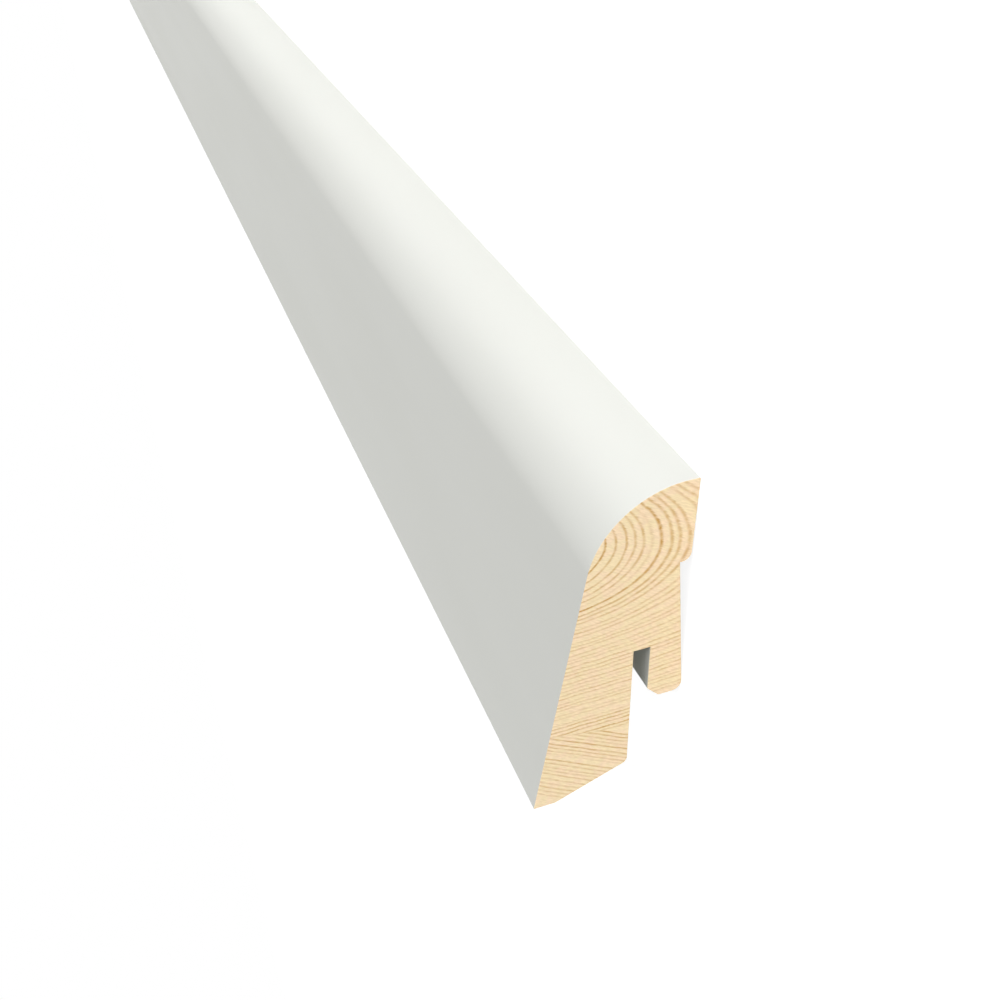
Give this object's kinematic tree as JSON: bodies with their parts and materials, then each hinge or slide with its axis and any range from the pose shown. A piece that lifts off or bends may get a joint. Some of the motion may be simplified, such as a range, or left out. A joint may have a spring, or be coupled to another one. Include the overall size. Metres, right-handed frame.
{
  "type": "skirting board length",
  "caption": "Straight length of softwood skirting board with a white finish, a leaning front, a large rounded top edge, a bevelled foot and a clip groove in its back.",
  "frame": {"origin": "centre of the board's box, at its bottom: the level floor that the board lies on, which is also the plane of the wall it is fixed to", "axes": "+X along the board, +Y from its foot to its top edge, +Z out of the wall into the room, which is up as the loose board lies on its back"},
  "size_m": [2.5, 0.058, 0.025],
  "materials": {
    "white_finished_softwood": "satin off-white finish on all the long faces, bare sawn softwood on the two ends"
  },
  "bodies": {
    "root": {"skirting_board": "white_finished_softwood"}
  },
  "joints": []
}
